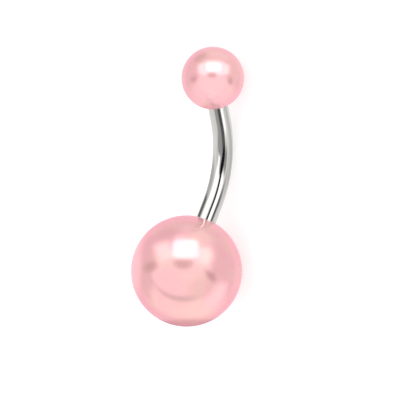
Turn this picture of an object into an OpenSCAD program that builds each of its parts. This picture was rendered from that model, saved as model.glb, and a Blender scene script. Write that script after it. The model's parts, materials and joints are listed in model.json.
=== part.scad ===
// Curved barbell for a navel piercing: a bent steel bar with a small ball
// screwed on one end and a large ball on the other.
// It lies on both balls, with the bow of the bar hanging down between them.
// X runs from the large ball to the small one, and Z = 0 is the surface.

/* [Bar] */
// Diameter of the round bar
bar_d = 1.6; // [1.2:0.1:1.6]
// Length along the bar that shows between the balls
wear_len = 9.5; // [9:0.1:12]
// Straight length at each end, between the bend and the ball
neck_len = 1.3; // [0.8:0.1:1.6]
// Angle that the bar turns through
bend_angle = 42; // [30:1:44]

/* [Threaded ends] */
// Diameter over the thread
thread_d = 1.56; // [1.1:0.02:1.56]
// Length of the thread, inside the ball
thread_len = 3; // [2:0.1:3.2]
// Chamfer on the end of the thread
tip_chamfer = 0.18; // [0.05:0.01:0.25]

/* [Balls] */
// Diameter of the small ball, on top when it is worn
top_ball_d = 4.9; // [4.8:0.1:6]
// Diameter of the large ball, at the bottom when it is worn
bottom_ball_d = 8.8; // [8:0.1:10]
// Width of the chamfer around the mouth of each hole
mouth_chamfer = 0.07; // [0.02:0.01:0.1]

/* [Fit] */
// Gap around the bar inside a ball
bore_gap = 0.03; // [0.02:0.01:0.05]
// Length of full bar that enters each ball before the thread starts
shoulder_len = 0.2; // [0.1:0.05:0.4]
// Depth left free beyond the end of the thread
end_gap = 0.25; // [0.1:0.05:0.3]

/* [Hidden] */
$fn = 128;
// Overrun of a cut past the face that it opens
cut_past = 1;
// The straight ends are a hair thinner than the bend and start just inside it
neck_d = bar_d - 0.01;
neck_overlap = 0.02;

// The bend in its own frame: its centre at the origin and its bow towards -Z
half_bend = bend_angle / 2;
bend_r = (wear_len - 2 * neck_len) / (bend_angle * PI / 180);
bend_end = bend_r * [sin(half_bend), 0, -cos(half_bend)];

// Distance from the centre of a ball to the plane where the bar leaves it
function seat(ball_d) = sqrt(pow(ball_d / 2, 2) - pow(bar_d / 2, 2));

// Distance from the end of the bend to the centre of a ball
function reach(ball_d) = neck_len + seat(ball_d);

// Centre of a ball in the frame of the bend, on the side +1 or -1 along X
function ball_centre(side, ball_d) = [
    side * (bend_end.x + reach(ball_d) * cos(half_bend)),
    0,
    bend_end.z + reach(ball_d) * sin(half_bend)
];

// The tilt that sets both balls on the surface
top_c = ball_centre(1, top_ball_d);
bottom_c = ball_centre(-1, bottom_ball_d);
span = norm(top_c - bottom_c);
ball_step = (top_ball_d - bottom_ball_d) / 2;
tilt = asin(ball_step / span) - atan2(top_c.z - bottom_c.z, top_c.x - bottom_c.x);

// Places along X and Z after the tilt
function tilted(p) = [
    p.x * cos(tilt) - p.z * sin(tilt),
    0,
    p.x * sin(tilt) + p.z * cos(tilt)
];
left_end = tilted(bottom_c).x - bottom_ball_d / 2;
right_end = tilted(top_c).x + top_ball_d / 2;
shift = [-(left_end + right_end) / 2, 0, bottom_ball_d / 2 - tilted(bottom_c).z];

// Puts what is drawn in the frame of the bend where it lies on the surface
module lay_down() {
    translate(shift) rotate([0, -tilt, 0]) children();
}

// Puts what is drawn along +Z onto a straight end of the bar, from the bend outwards
module on_end(side) {
    mirror([side < 0 ? 1 : 0, 0, 0])
        translate(bend_end)
            rotate([0, 90 - half_bend, 0])
                children();
}

// One end of the bar: the straight neck, then the thread with its chamfered tip
module straight_end() {
    full_len = neck_len + shoulder_len;
    plain_len = full_len + thread_len - tip_chamfer;
    translate([0, 0, -neck_overlap])
        cylinder(h = full_len + neck_overlap, d = neck_d);
    cylinder(h = plain_len, d = thread_d);
    translate([0, 0, plain_len])
        cylinder(h = tip_chamfer, d1 = thread_d, d2 = thread_d - 2 * tip_chamfer);
}

module curved_bar() {
    color("silver") lay_down() {
        rotate([90, 0, 0])
            rotate([0, 0, 270 - half_bend])
                rotate_extrude(angle = bend_angle)
                    translate([bend_r, 0]) circle(d = bar_d);
        on_end(1) straight_end();
        on_end(-1) straight_end();
    }
}

// A ball with its blind hole, on the side +1 or -1
module ball(side, ball_d) {
    bore_d = bar_d + 2 * bore_gap;
    bore_depth = shoulder_len + thread_len + end_gap;
    mouth_d = bore_d + 2 * mouth_chamfer;
    // Where the sphere is as wide as the mouth of the hole
    mouth_z = reach(ball_d) - sqrt(pow(ball_d / 2, 2) - pow(mouth_d / 2, 2));
    lay_down() on_end(side) difference() {
        translate([0, 0, reach(ball_d)]) sphere(d = ball_d);
        translate([0, 0, neck_len - cut_past])
            cylinder(h = bore_depth + cut_past, d = bore_d);
        translate([0, 0, mouth_z - cut_past])
            cylinder(h = mouth_chamfer + cut_past, d1 = mouth_d + 2 * cut_past, d2 = bore_d);
    }
}

module top_ball() {
    color([0.96, 0.70, 0.72]) ball(1, top_ball_d);
}

module bottom_ball() {
    color([0.96, 0.66, 0.69]) ball(-1, bottom_ball_d);
}

curved_bar();
top_ball();
bottom_ball();
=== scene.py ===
"""A curved barbell for a navel piercing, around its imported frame.

A bent bar of polished steel has a screw thread on both ends. A small pearl ball is screwed on
one end and a large one on the other, and the barbell lies on both balls with its bow down.
"""

import json
import math

import bmesh
import bpy
from mathutils import Matrix, Vector
from mathutils.geometry import intersect_line_line


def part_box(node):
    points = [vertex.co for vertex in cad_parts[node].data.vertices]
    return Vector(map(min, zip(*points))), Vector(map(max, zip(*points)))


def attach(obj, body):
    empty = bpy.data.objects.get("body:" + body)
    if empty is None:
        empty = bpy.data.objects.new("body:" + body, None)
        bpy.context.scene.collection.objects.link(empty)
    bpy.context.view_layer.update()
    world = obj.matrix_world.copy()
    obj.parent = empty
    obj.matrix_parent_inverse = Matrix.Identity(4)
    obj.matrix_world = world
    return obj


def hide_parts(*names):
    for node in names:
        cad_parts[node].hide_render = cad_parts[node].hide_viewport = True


bl_info = {
    "name": "Curved barbell",
    "version": (1, 0, 0),
    "blender": (4, 5, 0),
    "location": "3D View > Sidebar > Barbell",
    "description": "Builds a curved barbell with two pearl balls, and its studio",
    "category": "Object",
}

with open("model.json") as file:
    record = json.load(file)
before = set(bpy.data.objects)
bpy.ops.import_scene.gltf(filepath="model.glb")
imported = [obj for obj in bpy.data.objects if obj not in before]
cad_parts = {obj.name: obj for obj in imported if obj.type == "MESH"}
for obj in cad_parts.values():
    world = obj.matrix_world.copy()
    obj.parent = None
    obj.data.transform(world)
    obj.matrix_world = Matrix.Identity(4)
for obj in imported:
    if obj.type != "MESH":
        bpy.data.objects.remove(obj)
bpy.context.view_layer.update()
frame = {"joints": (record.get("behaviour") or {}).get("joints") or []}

MILLIMETRE = 0.001

# Meshes
WELD_DISTANCE = 1e-6
CUT_TOLERANCE = 1e-7
RIM_TOLERANCE = 2e-6
SHARP_ANGLE = math.radians(32)
BAR_SEGMENTS = 96
BEND_STEPS = 64
THREAD_SEGMENTS = 72
BALL_SEGMENTS = 160
BALL_RINGS = 96

# Threads: the angle of each flank, the flat crest and the relief groove as shares of the pitch,
# and the turns that are swept beyond both ends and cut off
THREAD_HALF_ANGLE = math.radians(30)
CREST_SHARE = 1 / 8
RELIEF_SHARE = 1 / 3
SPARE_TURNS = 3
# The flat bottom of a hole, as a share of its radius
HOLE_FLAT_SHARE = 0.3

# Finishes: patterns are in cells per metre, and a range is the lowest and the highest value
ROD_PLACE = "rod_place"
WHITE = (1.0, 1.0, 1.0)
NOISE_RANGE = (0.3, 0.7)
POLISH_LINES = 26000.0
POLISH_STRETCH = (1.0, 1.0, 0.04)
POLISH_DEPTH = 0.002 * MILLIMETRE
POLISH_GLOSS_RANGE = (0.1, 0.5)
STEEL_SMEARS = 900.0
STEEL_TONE = (0.97, 1.0)
STEEL_ROUGHNESS = (0.05, 0.11)
PEARL_CLOUDS = 420.0
PEARL_CLOUD_EDGE = (0.35, 0.65)
PEARL_FLAKES = 26000.0
PEARL_SHIFT = Vector((1.0, -1.0, 0.5))
PEARL_ROUGHNESS = (0.16, 0.19)
FLAKE_ROUGHNESS = 0.02
FLAKE_DEPTH = 0.004 * MILLIMETRE
DRILL_MARKS = 9000.0
DRILL_MARK_TONE = 0.9
ACRYLIC_ROUGHNESS = (0.3, 0.5)
SHEET_GRAIN = 90.0
SHEET_ROUGHNESS = (0.14, 0.18)
SHEET_COLOUR = (0.8, 0.8, 0.8)
SHEET_GLOW = 0.42

# The sockets of a Mix node for colours, which have the same names as those for its other types
MIX_FACTOR = 0
MIX_FIRST = 6
MIX_SECOND = 7
MIX_RESULT = 2

# Light tents, one inside the other: each radius, and the wall around its panels
TENT_SUBDIVISIONS = 5
STEEL_TENT_RADIUS = 0.21
SMALL_PEARL_TENT_RADIUS = 0.22
LARGE_PEARL_TENT_RADIUS = 0.23
STEEL_WALL = (1.0, 1.0, 1.0, 1.0)
SMALL_PEARL_WALL = (1.0, 0.94, 0.98, 1.0)
LARGE_PEARL_WALL = (0.95, 0.82, 0.86, 1.0)


class BarSizes(bpy.types.PropertyGroup):
    """Sizes and finish of the bent bar."""

    diameter: bpy.props.FloatProperty(
        name="Diameter",
        description="Diameter of the round bar",
        default=1.6 * MILLIMETRE,
        precision=5,
        unit="LENGTH",
    )
    neck: bpy.props.FloatProperty(
        name="Neck",
        description="Straight length at each end, between the bend and the ball",
        default=1.3 * MILLIMETRE,
        precision=5,
        unit="LENGTH",
    )
    shoulder: bpy.props.FloatProperty(
        name="Shoulder",
        description="Length of full bar that enters each ball before the thread",
        default=0.2 * MILLIMETRE,
        precision=5,
        unit="LENGTH",
    )
    edge: bpy.props.FloatProperty(
        name="Shoulder edge",
        description="Width of the broken edge around the shoulder",
        default=0.03 * MILLIMETRE,
        precision=5,
        unit="LENGTH",
    )
    thread_crest: bpy.props.FloatProperty(
        name="Thread diameter",
        description="Diameter over the crests of the thread",
        default=1.56 * MILLIMETRE,
        precision=5,
        unit="LENGTH",
    )
    thread_root: bpy.props.FloatProperty(
        name="Thread core",
        description="Diameter at the bottom of the thread's groove",
        default=1.24 * MILLIMETRE,
        precision=5,
        unit="LENGTH",
    )
    pitch: bpy.props.FloatProperty(
        name="Pitch",
        description="Distance from one turn of the thread to the next",
        default=0.35 * MILLIMETRE,
        precision=5,
        unit="LENGTH",
    )
    thread_length: bpy.props.FloatProperty(
        name="Thread length",
        description="Length of each threaded end",
        default=3.0 * MILLIMETRE,
        precision=5,
        unit="LENGTH",
    )
    tip_chamfer: bpy.props.FloatProperty(
        name="Tip chamfer",
        description="Chamfer on the end of the thread",
        default=0.18 * MILLIMETRE,
        precision=5,
        unit="LENGTH",
    )
    steel: bpy.props.FloatVectorProperty(
        name="Steel",
        description="Colour that the polished steel reflects",
        default=(0.66, 0.65, 0.63),
        min=0.0,
        max=1.0,
        subtype="COLOR",
    )


class BallSizes(bpy.types.PropertyGroup):
    """Sizes and finish that the two balls share."""

    bore: bpy.props.FloatProperty(
        name="Bore",
        description="Diameter of the plain start of the hole",
        default=1.66 * MILLIMETRE,
        precision=5,
        unit="LENGTH",
    )
    bore_crest: bpy.props.FloatProperty(
        name="Hole thread",
        description="Diameter inside the crests of the thread in the hole",
        default=1.62 * MILLIMETRE,
        precision=5,
        unit="LENGTH",
    )
    bore_root: bpy.props.FloatProperty(
        name="Hole thread groove",
        description="Diameter at the bottom of the groove in the hole",
        default=1.86 * MILLIMETRE,
        precision=5,
        unit="LENGTH",
    )
    bore_depth: bpy.props.FloatProperty(
        name="Hole depth",
        description="Depth of the hole from where the bar enters",
        default=3.45 * MILLIMETRE,
        precision=5,
        unit="LENGTH",
    )
    plain_depth: bpy.props.FloatProperty(
        name="Plain depth",
        description="Depth of the plain start of the hole, before its thread",
        default=0.3 * MILLIMETRE,
        precision=5,
        unit="LENGTH",
    )
    mouth_chamfer: bpy.props.FloatProperty(
        name="Mouth chamfer",
        description="Width of the chamfer around the mouth of the hole",
        default=0.07 * MILLIMETRE,
        precision=5,
        unit="LENGTH",
    )
    rose: bpy.props.FloatVectorProperty(
        name="Rose",
        description="Main colour of the pearl coating",
        default=(0.97, 0.53, 0.56),
        min=0.0,
        max=1.0,
        subtype="COLOR",
    )
    peach: bpy.props.FloatVectorProperty(
        name="Peach",
        description="Colour of the warmer clouds in the pearl coating",
        default=(0.98, 0.59, 0.57),
        min=0.0,
        max=1.0,
        subtype="COLOR",
    )
    gloss: bpy.props.FloatVectorProperty(
        name="Gloss",
        description="Colour of the pearl coating's gloss towards its rim",
        default=(1.0, 0.62, 0.74),
        min=0.0,
        max=1.0,
        subtype="COLOR",
    )
    sheen: bpy.props.FloatVectorProperty(
        name="Sheen",
        description="Colour of the faint sheen on the pearl coating",
        default=(1.0, 0.55, 0.8),
        min=0.0,
        max=1.0,
        subtype="COLOR",
    )
    acrylic: bpy.props.FloatVectorProperty(
        name="Acrylic",
        description="Colour of the bare acrylic inside the hole",
        default=(0.9, 0.72, 0.7),
        min=0.0,
        max=1.0,
        subtype="COLOR",
    )


class StudioSetup(bpy.types.PropertyGroup):
    """The camera and the floor."""

    azimuth: bpy.props.FloatProperty(
        name="Camera azimuth",
        description="Direction of the camera around the barbell, from -Y towards +X",
        default=math.radians(16.95),
        subtype="ANGLE",
    )
    elevation: bpy.props.FloatProperty(
        name="Camera elevation",
        description="Height of the camera above the horizon",
        default=math.radians(40.19),
        subtype="ANGLE",
    )
    roll: bpy.props.FloatProperty(
        name="Camera roll",
        description="Turn of the camera about its own axis, which stands the bar up in the picture",
        default=math.radians(-98.86),
        subtype="ANGLE",
    )
    distance: bpy.props.FloatProperty(
        name="Camera distance",
        description="Distance from the camera to the point that it looks at",
        default=149.42 * MILLIMETRE,
        unit="LENGTH",
    )
    aim: bpy.props.FloatVectorProperty(
        name="Aim",
        description="Point that the camera looks at",
        default=(-1.029 * MILLIMETRE, -0.039 * MILLIMETRE, 3.311 * MILLIMETRE),
        precision=6,
        subtype="TRANSLATION",
        unit="LENGTH",
    )
    lens: bpy.props.FloatProperty(
        name="Focal length",
        description="Focal length of the lens, in millimetres on a 36 mm sensor",
        default=170.87,
        unit="CAMERA",
    )
    floor_size: bpy.props.FloatProperty(
        name="Floor size",
        description="Length of each side of the floor",
        default=1.6,
        unit="LENGTH",
    )


class BarbellSettings(bpy.types.PropertyGroup):
    """Everything that the barbell and its studio are made from."""

    bar: bpy.props.PointerProperty(type=BarSizes)
    balls: bpy.props.PointerProperty(type=BallSizes)
    studio: bpy.props.PointerProperty(type=StudioSetup)


class BallPlace:
    """Where a ball lies and which way it comes off the bar, read from the frame."""

    def __init__(self, node):
        low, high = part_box(node)
        joint = next(j for j in frame["joints"] if j["child"] == node)
        self.off = Vector(joint["axis"]).normalized()
        self.radius = high.z / 2
        outer = high.x - self.radius if self.off.x > 0 else low.x + self.radius
        self.centre = Vector((outer, 0.0, self.radius))

    def face(self, bar_radius):
        """Distance from the centre to the plane where the bar leaves the ball."""
        return math.sqrt(self.radius**2 - bar_radius**2)

    def stand(self, origin):
        """Matrix that stands +Z along the way off, at a point."""
        across = Vector((0.0, 1.0, 0.0)).cross(self.off)
        turn = Matrix((across, Vector((0.0, 1.0, 0.0)), self.off)).transposed()
        return Matrix.Translation(origin) @ turn.to_4x4()


class Bend:
    """The bend of the bar, from the two straight ends that it joins."""

    def __init__(self, sizes):
        self.top = BallPlace("top_ball")
        self.bottom = BallPlace("bottom_ball")
        corner = intersect_line_line(
            self.top.centre,
            self.top.centre - self.top.off,
            self.bottom.centre,
            self.bottom.centre - self.bottom.off,
        )[0]
        reach = self.top.face(sizes.diameter / 2) + sizes.neck
        tangent = (self.top.centre - corner).length - reach
        self.top_end = corner + self.top.off * tangent
        self.bottom_end = corner + self.bottom.off * tangent
        self.angle = (-self.bottom.off).angle(self.top.off)
        self.radius = tangent / math.tan(self.angle / 2)
        self.middle = (self.top.off + self.bottom.off).normalized()
        self.centre = corner + self.middle * (self.radius / math.cos(self.angle / 2))

    def unrolled(self, place):
        """A point as it would lie on the straight bar, with Z along the bar."""
        arm = place - self.centre
        down = -self.middle
        side = Vector((0.0, 1.0, 0.0)).cross(down)
        angle = math.atan2(arm.dot(side), arm.dot(down))
        half = self.angle / 2
        held = max(-half, min(half, angle))
        outward = down * math.cos(held) + side * math.sin(held)
        along = side * math.cos(held) - down * math.sin(held)
        beyond = arm.dot(along)
        return Vector((arm.dot(outward) - self.radius, place.y, self.radius * held + beyond))


def draw_line(bm, places):
    """Draws a line of edges through places and returns its vertices and edges."""
    verts = list(bmesh.ops.create_vert(bm, co=places[0])["vert"])
    edges = []
    for place in places[1:]:
        grown = bmesh.ops.extrude_vert_indiv(bm, verts=[verts[-1]])
        verts.extend(grown["verts"])
        edges.extend(grown["edges"])
        verts[-1].co = place
    return verts, edges


def rim_at(bm, height):
    """The edges of an open rim that lies flat at a height."""
    return [
        edge
        for edge in bm.edges
        if edge.is_boundary and all(abs(v.co.z - height) < RIM_TOLERANCE for v in edge.verts)
    ]


def grow_rim(bm, rim, height, radius):
    """Extrudes a rim to a round one at a height, and returns the new rim."""
    grown = bmesh.ops.extrude_edge_only(bm, edges=rim)["geom"]
    fresh = {part for part in grown if isinstance(part, bmesh.types.BMVert)}
    for vert in fresh:
        across = Vector((vert.co.x, vert.co.y, 0.0)).normalized() * radius
        vert.co = across + Vector((0.0, 0.0, height))
    edges = {edge for vert in fresh for edge in vert.link_edges}
    return [edge for edge in edges if fresh.issuperset(edge.verts)]


def sweep_thread(bm, groove, crest, pitch, start, end):
    """Sweeps a screw thread up +Z between two flat rims and returns the two rims."""
    flank = abs(crest - groove) * math.tan(THREAD_HALF_ANGLE)
    crest_flat = pitch * CREST_SHARE
    groove_flat = pitch - crest_flat - 2 * flank
    first = start - SPARE_TURNS / 2 * pitch
    steps = (
        (groove, 0.0),
        (groove, groove_flat),
        (crest, groove_flat + flank),
        (crest, groove_flat + flank + crest_flat),
        (groove, pitch),
    )
    verts, edges = draw_line(bm, [(radius, 0.0, first + rise) for radius, rise in steps])
    turns = math.ceil((end - start) / pitch) + SPARE_TURNS
    bmesh.ops.spin(
        bm,
        geom=verts + edges,
        cent=(0.0, 0.0, 0.0),
        axis=(0.0, 0.0, 1.0),
        dvec=(0.0, 0.0, pitch / THREAD_SEGMENTS),
        angle=turns * math.tau,
        steps=turns * THREAD_SEGMENTS,
    )
    bmesh.ops.remove_doubles(bm, verts=bm.verts, dist=WELD_DISTANCE)
    for height, way in ((start, -1.0), (end, 1.0)):
        bmesh.ops.bisect_plane(
            bm,
            geom=bm.verts[:] + bm.edges[:] + bm.faces[:],
            dist=CUT_TOLERANCE,
            plane_co=(0.0, 0.0, height),
            plane_no=(0.0, 0.0, way),
            clear_outer=True,
        )
    return rim_at(bm, start), rim_at(bm, end)


def add_part(bm, part, matrix):
    """Moves the mesh of a part into another, placed by a matrix."""
    carried = bpy.data.meshes.new("carried")
    part.to_mesh(carried)
    part.free()
    carried.transform(matrix)
    bm.from_mesh(carried)
    bpy.data.meshes.remove(carried)


def add_object(bm, name):
    """Makes a mesh into an object at the origin."""
    mesh = bpy.data.meshes.new(name)
    bm.to_mesh(mesh)
    bm.free()
    made = bpy.data.objects.new(name, mesh)
    bpy.context.scene.collection.objects.link(made)
    return made


def finished_piece(bm, name):
    """Welds a mesh, turns its faces outwards and makes it a smooth object at the origin."""
    bmesh.ops.remove_doubles(bm, verts=bm.verts, dist=WELD_DISTANCE)
    bmesh.ops.recalc_face_normals(bm, faces=bm.faces)
    for face in bm.faces:
        face.smooth = True
    piece = add_object(bm, name)
    piece.data.set_sharp_from_angle(angle=SHARP_ANGLE)
    return piece


def straight_end(sizes):
    """One end of the bar along +Z: the neck, the shoulder, the thread and its tip."""
    end = bmesh.new()
    core = sizes.thread_root / 2
    radius = sizes.diameter / 2
    shoulder = sizes.neck + sizes.shoulder
    relief = sizes.pitch * RELIEF_SHARE
    tip = shoulder + sizes.thread_length
    start, chamfer = sweep_thread(
        end,
        core,
        sizes.thread_crest / 2,
        sizes.pitch,
        shoulder + relief,
        tip - sizes.tip_chamfer,
    )
    start = grow_rim(end, start, shoulder + relief / 2, core)
    start = grow_rim(end, start, shoulder, core)
    nose = sizes.thread_crest / 2 - sizes.tip_chamfer
    chamfer = grow_rim(end, chamfer, tip, nose)
    bmesh.ops.contextual_create(end, geom=chamfer)
    ring = bmesh.ops.create_circle(end, segments=BAR_SEGMENTS, radius=radius)["verts"]
    neck = list({edge for vert in ring for edge in vert.link_edges})
    neck = grow_rim(end, neck, shoulder - sizes.edge, radius)
    neck = grow_rim(end, neck, shoulder, radius - sizes.edge)
    bmesh.ops.recalc_face_normals(end, faces=end.faces)
    bmesh.ops.bridge_loops(end, edges=neck + start)
    return end


def bent_bar(sizes, bend):
    """The whole bar as one closed mesh."""
    bm = bmesh.new()
    bmesh.ops.create_circle(bm, segments=BAR_SEGMENTS, radius=sizes.diameter / 2)
    bmesh.ops.transform(bm, matrix=bend.bottom.stand(bend.bottom_end), verts=bm.verts)
    bmesh.ops.spin(
        bm,
        geom=bm.verts[:] + bm.edges[:],
        cent=bend.centre,
        axis=(0.0, -1.0, 0.0),
        angle=bend.angle,
        steps=BEND_STEPS,
    )
    add_part(bm, straight_end(sizes), bend.bottom.stand(bend.bottom_end))
    add_part(bm, straight_end(sizes), bend.top.stand(bend.top_end))
    return bm


def drilled_ball(sizes, place, bar):
    """A ball around the origin, with its hole for the bar's thread open towards -Z."""
    bm = bmesh.new()
    bore = sizes.bore / 2
    mouth = bore + sizes.mouth_chamfer
    opening = math.asin(mouth / place.radius)
    face = -place.face(bar.diameter / 2)
    plain_end = face + sizes.plain_depth
    entry_end = plain_end - sizes.mouth_chamfer / 2
    thread_end = face + sizes.bore_depth - (sizes.bore_root - sizes.bore_crest)
    hole_end = face + sizes.bore_depth
    start, bottom = sweep_thread(
        bm,
        sizes.bore_root / 2,
        sizes.bore_crest / 2,
        bar.pitch,
        plain_end + (sizes.bore_root - sizes.bore) / 2,
        thread_end,
    )
    start = grow_rim(bm, start, plain_end, bore)
    bottom = grow_rim(bm, bottom, hole_end, bore * HOLE_FLAT_SHARE)
    bmesh.ops.contextual_create(bm, geom=bottom)
    pole = bmesh.ops.create_vert(bm, co=(0.0, 0.0, place.radius))["vert"]
    thread = set(bm.verts) - set(pole)
    bmesh.ops.spin(
        bm,
        geom=pole,
        cent=(0.0, 0.0, 0.0),
        axis=(0.0, 1.0, 0.0),
        angle=math.pi - opening,
        steps=BALL_RINGS,
    )
    lip = min((v for v in bm.verts if v not in thread), key=lambda v: v.co.z)
    for height in (lip.co.z + sizes.mouth_chamfer, entry_end):
        grown = bmesh.ops.extrude_vert_indiv(bm, verts=[lip])["verts"][0]
        grown.co = (bore, 0.0, height)
        lip = grown
    line_verts = [v for v in bm.verts if v not in thread]
    line_edges = [e for e in bm.edges if thread.isdisjoint(e.verts)]
    bmesh.ops.spin(
        bm,
        geom=line_verts + line_edges,
        cent=(0.0, 0.0, 0.0),
        axis=(0.0, 0.0, 1.0),
        angle=math.tau,
        steps=BALL_SEGMENTS,
        use_merge=True,
    )
    bmesh.ops.remove_doubles(bm, verts=bm.verts, dist=WELD_DISTANCE)
    entry = rim_at(bm, entry_end)
    bmesh.ops.bridge_loops(bm, edges=entry + start)
    return bm


def add_node(tree, kind, inputs=None, **settings):
    """Adds a node with its settings, and with a value or a link on each named input."""
    made = tree.nodes.new(kind)
    for name, value in settings.items():
        setattr(made, name, value)
    for name, value in (inputs or {}).items():
        if isinstance(value, bpy.types.NodeSocket):
            tree.links.new(value, made.inputs[name])
        else:
            made.inputs[name].default_value = value
    return made


def calculate(tree, operation, first, second=0.0):
    """The result of a Math node."""
    return add_node(tree, "ShaderNodeMath", {0: first, 1: second}, operation=operation).outputs[0]


def remap(tree, value, source, target, smooth=False):
    """A value moved from one range to another, and held inside it."""
    kind = "SMOOTHSTEP" if smooth else "LINEAR"
    inputs = {
        "Value": value,
        "From Min": source[0],
        "From Max": source[1],
        "To Min": target[0],
        "To Max": target[1],
    }
    made = add_node(tree, "ShaderNodeMapRange", inputs, interpolation_type=kind)
    return made.outputs["Result"]


def blend_colours(tree, factor, first, second):
    """Two colours mixed by a factor."""
    inputs = {MIX_FACTOR: factor, MIX_FIRST: first, MIX_SECOND: second}
    return add_node(tree, "ShaderNodeMix", inputs, data_type="RGBA").outputs[MIX_RESULT]


def new_material(name):
    """A material with nodes: the material, its tree and its surface shader."""
    material = bpy.data.materials.new(name)
    material.use_nodes = True
    tree = material.node_tree
    return material, tree, tree.nodes["Principled BSDF"]


def opaque(colour, level=1.0):
    """A colour with its alpha, at a level."""
    return (*(part * level for part in colour), 1.0)


def steel_material(colour):
    """Surgical steel polished to a mirror, with faint polishing lines along the bar."""
    material, tree, shader = new_material("polished_steel")
    place = add_node(tree, "ShaderNodeAttribute", attribute_name=ROD_PLACE).outputs["Vector"]
    stretched = add_node(
        tree, "ShaderNodeMapping", {"Vector": place, "Scale": POLISH_STRETCH}
    ).outputs[0]
    lines = add_node(
        tree,
        "ShaderNodeTexNoise",
        {"Vector": stretched, "Scale": POLISH_LINES, "Detail": 3.0, "Roughness": 0.6},
    ).outputs["Fac"]
    smears = add_node(
        tree, "ShaderNodeTexNoise", {"Vector": place, "Scale": STEEL_SMEARS, "Detail": 2.0}
    ).outputs["Fac"]
    shader.inputs["Metallic"].default_value = 1.0
    tone = remap(tree, smears, NOISE_RANGE, STEEL_TONE)
    tinted = add_node(
        tree, "ShaderNodeVectorMath", {0: colour, "Scale": tone}, operation="SCALE"
    ).outputs[0]
    tree.links.new(tinted, shader.inputs["Base Color"])
    gloss = calculate(tree, "MULTIPLY", lines, smears)
    dull = remap(tree, gloss, POLISH_GLOSS_RANGE, STEEL_ROUGHNESS)
    tree.links.new(dull, shader.inputs["Roughness"])
    bump = add_node(
        tree,
        "ShaderNodeBump",
        {"Height": lines, "Strength": 0.05, "Distance": POLISH_DEPTH},
    ).outputs[0]
    tree.links.new(bump, shader.inputs["Normal"])
    return material


def pearl_material(name, sizes, shift):
    """Pink pearl paint under a clear gloss coat."""
    material, tree, shader = new_material(name)
    place = add_node(tree, "ShaderNodeTexCoord").outputs["Object"]
    shifted = add_node(
        tree, "ShaderNodeMapping", {"Vector": place, "Location": PEARL_SHIFT * shift}
    ).outputs[0]
    clouds = add_node(
        tree,
        "ShaderNodeTexNoise",
        {"Vector": shifted, "Scale": PEARL_CLOUDS, "Detail": 3.0, "Distortion": 0.4},
    ).outputs["Fac"]
    flakes = add_node(
        tree, "ShaderNodeTexVoronoi", {"Vector": shifted, "Scale": PEARL_FLAKES}
    ).outputs["Color"]
    flake = add_node(tree, "ShaderNodeSeparateColor", {0: flakes}).outputs[0]
    tone = remap(tree, clouds, PEARL_CLOUD_EDGE, (0.0, 1.0), smooth=True)
    base = blend_colours(tree, tone, opaque(sizes.rose), opaque(sizes.peach))
    tree.links.new(base, shader.inputs["Base Color"])
    sparkle = calculate(tree, "MULTIPLY", flake, FLAKE_ROUGHNESS)
    dull = calculate(tree, "ADD", remap(tree, clouds, NOISE_RANGE, PEARL_ROUGHNESS), sparkle)
    tree.links.new(dull, shader.inputs["Roughness"])
    bump = add_node(
        tree,
        "ShaderNodeBump",
        {"Height": flake, "Strength": 0.04, "Distance": FLAKE_DEPTH},
    ).outputs[0]
    tree.links.new(bump, shader.inputs["Normal"])
    shader.inputs["Metallic"].default_value = 0.62
    shader.inputs["Specular IOR Level"].default_value = 0.4
    shader.inputs["Specular Tint"].default_value = opaque(sizes.gloss)
    shader.inputs["Coat Weight"].default_value = 0.3
    shader.inputs["Coat Roughness"].default_value = 0.03
    shader.inputs["Coat IOR"].default_value = 1.45
    shader.inputs["Sheen Weight"].default_value = 0.12
    shader.inputs["Sheen Roughness"].default_value = 0.3
    shader.inputs["Sheen Tint"].default_value = opaque(sizes.sheen)
    return material


def acrylic_material(colour):
    """Bare acrylic, cut by the drill and the tap."""
    material, tree, shader = new_material("acrylic_core")
    place = add_node(tree, "ShaderNodeTexCoord").outputs["Object"]
    marks = add_node(
        tree, "ShaderNodeTexNoise", {"Vector": place, "Scale": DRILL_MARKS, "Detail": 2.0}
    ).outputs["Fac"]
    base = blend_colours(tree, marks, opaque(colour, DRILL_MARK_TONE), opaque(colour))
    tree.links.new(base, shader.inputs["Base Color"])
    dull = remap(tree, marks, NOISE_RANGE, ACRYLIC_ROUGHNESS)
    tree.links.new(dull, shader.inputs["Roughness"])
    return material


def floor_material():
    """White acrylic sheet, lit a little from below, with a soft gloss."""
    material, tree, shader = new_material("white_sheet")
    place = add_node(tree, "ShaderNodeTexCoord").outputs["Object"]
    grain = add_node(
        tree, "ShaderNodeTexNoise", {"Vector": place, "Scale": SHEET_GRAIN, "Detail": 2.0}
    ).outputs["Fac"]
    dull = remap(tree, grain, NOISE_RANGE, SHEET_ROUGHNESS)
    tree.links.new(dull, shader.inputs["Roughness"])
    shader.inputs["Base Color"].default_value = opaque(SHEET_COLOUR)
    shader.inputs["Emission Color"].default_value = opaque(WHITE)
    shader.inputs["Emission Strength"].default_value = SHEET_GLOW
    return material


class TentPanel:
    """A lit or dark panel of a light tent, laid over the panels before it.

    Its place is where a mirror ball in the main picture shows it: the middle and the half sizes
    are shares of the ball's radius, to the right and up. The soft edge is a share of the half
    size, a corner of 2 makes an ellipse and a higher one a squarer shape, and the turn is in
    degrees.
    """

    def __init__(self, at, size, glow, soft=0.4, corner=2.0, turn=0.0, tint=WHITE):
        self.at = (*at, 0.0)
        self.size = (*size, 1.0)
        self.turn = (0.0, 0.0, math.radians(turn))
        self.soft = soft
        self.corner = corner
        self.colour = opaque(tint, glow)


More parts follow.
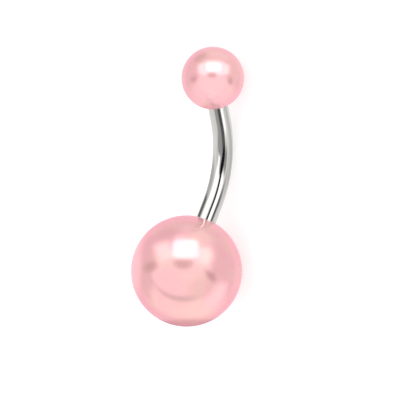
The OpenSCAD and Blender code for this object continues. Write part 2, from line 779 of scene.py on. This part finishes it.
STEEL_PANELS = (
    # Dim walls at the far left and right
    TentPanel(at=(-0.82, 0.2), size=(0.19, 0.2), glow=0.6, soft=0.5),
    TentPanel(at=(-0.73, 0.345), size=(0.14, 0.06), glow=0.17, soft=0.5),
    TentPanel(at=(0.79, -0.13), size=(0.13, 0.09), glow=0.68, soft=0.5),
    # Two white windows
    TentPanel(at=(-0.32, 0.1), size=(0.2, 0.29), glow=1.7, soft=0.15, corner=5.0),
    TentPanel(at=(0.24, 0.04), size=(0.21, 0.18), glow=1.7, soft=0.15, corner=5.0),
    # Patches above the windows, and the bright one that the bar shows to the large ball
    TentPanel(at=(-0.3, 0.58), size=(0.14, 0.08), glow=0.75),
    TentPanel(at=(0.34, 0.31), size=(0.07, 0.08), glow=1.5),
    TentPanel(at=(-0.08, 0.53), size=(0.13, 0.05), glow=0.25, turn=-12.0),
    TentPanel(at=(-0.2, 0.45), size=(0.12, 0.07), glow=0.5),
    TentPanel(at=(0.0, 0.42), size=(0.12, 0.065), glow=3.4, soft=0.3, corner=5.0, turn=55.0),
    # Dark strips by the top and bottom of the rim
    TentPanel(at=(0.1, 0.87), size=(0.5, 0.06), glow=0.15, turn=-8.0),
    TentPanel(at=(-0.46, 0.63), size=(0.1, 0.1), glow=0.4),
    TentPanel(at=(-0.05, -0.86), size=(0.55, 0.07), glow=0.15, turn=4.0),
    # White and grey patches below the windows
    TentPanel(at=(0.52, -0.56), size=(0.12, 0.12), glow=1.8, corner=5.0),
    TentPanel(at=(-0.54, -0.15), size=(0.11, 0.1), glow=0.82),
    TentPanel(at=(0.44, -0.32), size=(0.2, 0.07), glow=1.7, soft=0.3),
    TentPanel(at=(-0.17, -0.38), size=(0.37, 0.21), glow=0.43, soft=0.06, corner=5.0),
    TentPanel(at=(-0.59, -0.43), size=(0.2, 0.15), glow=0.95),
    TentPanel(at=(-0.19, -0.13), size=(0.09, 0.07), glow=0.55, soft=0.3),
    TentPanel(at=(0.06, -0.31), size=(0.15, 0.17), glow=0.14),
    TentPanel(at=(0.27, -0.185), size=(0.14, 0.045), glow=0.4),
    # Dark lines, of which the middle ones make the bar's dark band
    TentPanel(at=(0.505, -0.088), size=(0.12, 0.063), glow=0.15, corner=5.0, turn=-15.0),
    TentPanel(at=(0.02, 0.0), size=(0.085, 0.16), glow=0.03, soft=0.35, corner=5.0, turn=-18.0),
    TentPanel(at=(0.15, 0.34), size=(0.045, 0.14), glow=0.05, corner=5.0, turn=-22.0),
    TentPanel(at=(0.01, -0.165), size=(0.19, 0.07), glow=0.01, soft=0.25, turn=-20.0),
    TentPanel(at=(0.08, -0.41), size=(0.12, 0.05), glow=0.04, soft=0.5),
)

LARGE_PEARL_PANELS = (
    # The pale middle, and the upper part of the rim
    TentPanel(at=(0.0, 0.06), size=(0.87, 0.84), glow=0.76, soft=0.06, tint=(1.0, 0.92, 0.93)),
    TentPanel(at=(-0.98, 0.05), size=(0.16, 0.6), glow=1.2, soft=0.5, tint=(1.0, 0.9, 0.93)),
    TentPanel(at=(-0.35, 0.68), size=(0.2, 0.08), glow=0.7, turn=25.0, tint=(1.0, 0.88, 0.88)),
    TentPanel(at=(0.2, 0.63), size=(0.3, 0.13), glow=0.94, turn=-25.0),
    # The lower half, with the dark edge of a bright disc
    TentPanel(at=(0.03, -0.41), size=(0.64, 0.43), glow=1.09, soft=0.15, tint=(1.0, 1.0, 0.96)),
    TentPanel(at=(0.5, -0.44), size=(0.25, 0.1), glow=1.25, soft=0.5, turn=45.0),
    TentPanel(at=(-0.04, -0.08), size=(0.54, 0.45), glow=0.6, soft=0.05),
    TentPanel(at=(-0.07, -0.03), size=(0.54, 0.405), glow=1.1, soft=0.05, tint=(1.0, 1.0, 0.97)),
    TentPanel(
        at=(0.28, -0.27), size=(0.24, 0.18), glow=0.87,
        soft=0.6, turn=30.0, tint=(1.0, 1.0, 0.94),
    ),
    # A rose strip at the bottom of the rim
    TentPanel(at=(0.0, -0.97), size=(0.55, 0.12), glow=0.6, tint=(1.0, 0.72, 0.78)),
    # The wings beside the window, the shade below it, and the window
    TentPanel(
        at=(-0.41, 0.35), size=(0.15, 0.15), glow=1.65,
        soft=0.5, corner=4.0, turn=20.0, tint=(1.0, 0.97, 0.9),
    ),
    TentPanel(
        at=(0.31, 0.28), size=(0.15, 0.15), glow=1.66,
        soft=0.55, corner=3.0, tint=(1.0, 0.99, 0.93),
    ),
    TentPanel(at=(-0.06, 0.15), size=(0.17, 0.105), glow=0.55, soft=0.35, tint=(1.0, 0.85, 0.85)),
    TentPanel(at=(-0.1, 0.58), size=(0.12, 0.07), glow=1.2, soft=0.5),
    TentPanel(at=(-0.02, 0.395), size=(0.235, 0.17), glow=2.3, soft=0.15, corner=5.0),
    # Dark spots at the ends of the disc
    TentPanel(
        at=(-0.64, 0.06), size=(0.13, 0.08), glow=0.45,
        soft=0.6, turn=25.0, tint=(1.0, 0.78, 0.78),
    ),
    TentPanel(
        at=(0.43, -0.09), size=(0.13, 0.06), glow=0.38,
        soft=0.6, turn=-50.0, tint=(1.0, 0.78, 0.78),
    ),
)

SMALL_PEARL_PANELS = (
    # The pale middle, and the upper part of the rim
    TentPanel(at=(0.0, 0.02), size=(0.88, 0.87), glow=0.82, soft=0.08, tint=(1.0, 0.93, 0.94)),
    TentPanel(
        at=(-0.35, 0.64), size=(0.21, 0.09), glow=0.58,
        soft=0.5, turn=30.0, tint=(1.0, 0.88, 0.9),
    ),
    TentPanel(at=(0.2, 0.7), size=(0.34, 0.12), glow=0.92, soft=0.5, turn=-12.0),
    # The lower half
    TentPanel(at=(0.0, -0.42), size=(0.72, 0.43), glow=1.05, soft=0.25),
    TentPanel(at=(-0.03, -0.14), size=(0.45, 0.42), glow=1.17, soft=0.15),
    # The window in three steps, and the shade below it
    TentPanel(at=(0.02, 0.27), size=(0.47, 0.19), glow=1.72, soft=0.15, corner=4.0),
    TentPanel(at=(0.03, 0.41), size=(0.31, 0.13), glow=1.45, soft=0.25, corner=3.0),
    TentPanel(at=(0.03, 0.33), size=(0.25, 0.15), glow=2.3, soft=0.15, corner=4.0),
    TentPanel(at=(-0.03, 0.08), size=(0.15, 0.08), glow=0.66, tint=(1.0, 0.86, 0.86)),
    # Dark spots at the left and right
    TentPanel(at=(-0.61, -0.02), size=(0.1, 0.1), glow=0.58, soft=0.5, tint=(1.0, 0.85, 0.85)),
    TentPanel(at=(0.55, -0.08), size=(0.07, 0.11), glow=0.5, soft=0.5, tint=(1.0, 0.85, 0.85)),
    # A dark and a pale spot above the bar
    TentPanel(at=(-0.13, -0.74), size=(0.14, 0.08), glow=0.86, corner=3.0),
    TentPanel(at=(-0.04, -0.6), size=(0.1, 0.05), glow=1.3),
    # A rose strip at the bottom of the rim
    TentPanel(at=(0.0, -0.98), size=(0.6, 0.14), glow=0.85, tint=(1.0, 0.72, 0.78)),
)


def panel_mask(tree, place, panel):
    """One inside a panel and nothing outside it, with a soft edge and rounded corners."""
    own = add_node(
        tree,
        "ShaderNodeMapping",
        {"Vector": place, "Location": panel.at, "Rotation": panel.turn, "Scale": panel.size},
        vector_type="TEXTURE",
    ).outputs[0]
    own = add_node(tree, "ShaderNodeVectorMath", {0: own}, operation="ABSOLUTE").outputs[0]
    parts = add_node(tree, "ShaderNodeSeparateXYZ", {0: own}).outputs
    wide = calculate(tree, "POWER", parts["X"], panel.corner)
    tall = calculate(tree, "POWER", parts["Y"], panel.corner)
    out = calculate(tree, "POWER", calculate(tree, "ADD", wide, tall), 1.0 / panel.corner)
    edge = (1.0 - panel.soft, 1.0 + panel.soft)
    return remap(tree, out, edge, (1.0, 0.0), smooth=True)


def tent_material(name, panels, wall, see_through):
    """The walls of a light tent, which glow as its panels say.

    The tent's own Z points to where the main picture is taken from, and stays so in every view.
    Halfway between that and the way to a point on the wall lies the place where a mirror ball
    shows the point.
    """
    material, tree, shader = new_material(name)
    tree.nodes.remove(shader)
    place = add_node(tree, "ShaderNodeTexCoord").outputs["Object"]
    way = add_node(tree, "ShaderNodeVectorMath", {0: place}, operation="NORMALIZE").outputs[0]
    half = add_node(tree, "ShaderNodeVectorMath", {0: way, 1: (0.0, 0.0, 1.0)}).outputs[0]
    shown = add_node(tree, "ShaderNodeVectorMath", {0: half}, operation="NORMALIZE").outputs[0]
    glow = wall
    for panel in panels:
        glow = blend_colours(tree, panel_mask(tree, shown, panel), glow, panel.colour)
    surface = add_node(tree, "ShaderNodeEmission", {"Color": glow}).outputs[0]
    if see_through:
        clear = add_node(tree, "ShaderNodeBsdfTransparent").outputs[0]
        surface = add_node(tree, "ShaderNodeAddShader", {0: surface, 1: clear}).outputs[0]
    tree.links.new(surface, tree.nodes["Material Output"].inputs["Surface"])
    material.cycles.emission_sampling = "NONE"
    return material


def add_tent(name, place, radius, material, lit):
    """Adds a light tent that only reflections show, and only those in the lit objects."""
    bm = bmesh.new()
    bmesh.ops.create_icosphere(bm, subdivisions=TENT_SUBDIVISIONS, radius=radius)
    tent = add_object(bm, name)
    tent.data.materials.append(material)
    tent.matrix_world = place
    tent.visible_camera = False
    tent.visible_diffuse = False
    tent.visible_transmission = False
    tent.visible_volume_scatter = False
    tent.visible_shadow = False
    seen_in = bpy.data.collections.new(f"{name}_seen_in")
    for piece in lit:
        seen_in.objects.link(piece)
    tent.light_linking.receiver_collection = seen_in


def camera_turn(studio):
    """The camera's rotation as a matrix, and the way back to it from where it looks."""
    level = math.cos(studio.elevation)
    back = Vector(
        (
            math.sin(studio.azimuth) * level,
            -math.cos(studio.azimuth) * level,
            math.sin(studio.elevation),
        )
    )
    upright = (-back).to_track_quat("-Z", "Y").to_matrix().to_4x4()
    return upright @ Matrix.Rotation(studio.roll, 4, "Z"), back


def add_camera(studio, place):
    """Adds the scene's camera."""
    scene = bpy.context.scene
    camera = bpy.data.objects.new("camera", bpy.data.cameras.new("camera"))
    camera.data.lens = studio.lens
    camera.data.clip_start = MILLIMETRE
    camera.matrix_world = place
    scene.collection.objects.link(camera)
    scene.camera = camera


def add_floor(size):
    """Adds the white sheet that the barbell lies on."""
    bm = bmesh.new()
    bmesh.ops.create_grid(bm, x_segments=1, y_segments=1, size=size / 2)
    floor = add_object(bm, "floor")
    floor.data.materials.append(floor_material())
    # The photograph shows no floor in the bar or the balls
    floor.visible_glossy = False
    return floor


class BARBELL_OT_add_bar(bpy.types.Operator):
    """Builds the bent steel bar with its two threaded ends."""

    bl_idname = "barbell.add_bar"
    bl_label = "Add the bar"

    def execute(self, context):
        sizes = context.scene.barbell.bar
        bend = Bend(sizes)
        bar = finished_piece(bent_bar(sizes, bend), "bar")
        places = bar.data.attributes.new(ROD_PLACE, "FLOAT_VECTOR", "POINT")
        for vert, place in zip(bar.data.vertices, places.data):
            place.vector = bend.unrolled(vert.co)
        bar.data.materials.append(steel_material(sizes.steel))
        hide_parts("curved_bar")
        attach(bar, "bar")
        return {"FINISHED"}


class BARBELL_OT_add_balls(bpy.types.Operator):
    """Builds the small and the large pearl ball, each with its threaded hole."""

    bl_idname = "barbell.add_balls"
    bl_label = "Add the balls"

    def execute(self, context):
        settings = context.scene.barbell
        sizes = settings.balls
        core = acrylic_material(sizes.acrylic)
        for body, piece, slot, shift in (
            ("top_ball", "small_ball", "top_pearl", 0.013),
            ("bottom_ball", "large_ball", "bottom_pearl", 0.041),
        ):
            place = BallPlace(body)
            bm = drilled_ball(sizes, place, settings.bar)
            inside = place.radius - sizes.mouth_chamfer / 2
            for face in bm.faces:
                face.material_index = int(face.calc_center_median().length < inside)
            bmesh.ops.transform(bm, matrix=place.stand(place.centre), verts=bm.verts)
            ball = finished_piece(bm, piece)
            ball.data.materials.append(pearl_material(slot, sizes, shift))
            ball.data.materials.append(core)
            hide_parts(body)
            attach(ball, body)
            # The photograph shows no ball in the bar or in the other ball
            ball.visible_glossy = False
        return {"FINISHED"}


class BARBELL_OT_set_stage(bpy.types.Operator):
    """Sets the camera, the floor and the lights."""

    bl_idname = "barbell.set_stage"
    bl_label = "Set the stage"

    def execute(self, context):
        scene = context.scene
        studio = scene.barbell.studio
        turn, back = camera_turn(studio)
        aim = Vector(studio.aim)
        add_camera(studio, Matrix.Translation(aim + back * studio.distance) @ turn)
        floor = add_floor(studio.floor_size)

        # What another object mirrors lies beyond a tent, so all but the last are see-through
        around = Matrix.Translation(aim) @ turn
        bar = bpy.data.objects["bar"]
        small_ball = bpy.data.objects["small_ball"]
        large_ball = bpy.data.objects["large_ball"]
        steel = tent_material("steel_tent", STEEL_PANELS, STEEL_WALL, True)
        add_tent("steel_tent", around, STEEL_TENT_RADIUS, steel, [bar])
        small = tent_material("small_pearl_tent", SMALL_PEARL_PANELS, SMALL_PEARL_WALL, True)
        add_tent("small_pearl_tent", around, SMALL_PEARL_TENT_RADIUS, small, [small_ball])
        large = tent_material("large_pearl_tent", LARGE_PEARL_PANELS, LARGE_PEARL_WALL, False)
        add_tent("large_pearl_tent", around, LARGE_PEARL_TENT_RADIUS, large, [large_ball, floor])

        world = bpy.data.worlds.new("studio")
        world.use_nodes = True
        world.node_tree.nodes["Background"].inputs["Color"].default_value = opaque(WHITE)
        scene.world = world
        scene.view_settings.view_transform = "Standard"
        return {"FINISHED"}


class BARBELL_PT_sidebar(bpy.types.Panel):
    """Lists the barbell's pieces and sizes."""

    bl_label = "Curved barbell"
    bl_idname = "BARBELL_PT_sidebar"
    bl_space_type = "VIEW_3D"
    bl_region_type = "UI"
    bl_category = "Barbell"

    def draw(self, context):
        settings = context.scene.barbell
        for group in (settings.bar, settings.balls, settings.studio):
            box = self.layout.box()
            for name in group.bl_rna.properties.keys():
                if name not in ("rna_type", "name"):
                    box.prop(group, name)
        for step in STEPS:
            self.layout.operator(step.bl_idname)


STEPS = (BARBELL_OT_add_bar, BARBELL_OT_add_balls, BARBELL_OT_set_stage)
CLASSES = (BarSizes, BallSizes, StudioSetup, BarbellSettings, *STEPS, BARBELL_PT_sidebar)


def register():
    """Adds the settings, the steps and the sidebar to Blender."""
    for cls in CLASSES:
        bpy.utils.register_class(cls)
    bpy.types.Scene.barbell = bpy.props.PointerProperty(type=BarbellSettings)


def unregister():
    """Takes out what register added."""
    del bpy.types.Scene.barbell
    for cls in reversed(CLASSES):
        bpy.utils.unregister_class(cls)


def main():
    """Builds the barbell and its studio."""
    register()
    bpy.ops.barbell.add_bar()
    bpy.ops.barbell.add_balls()
    bpy.ops.barbell.set_stage()


if __name__ == "__main__":
    main()
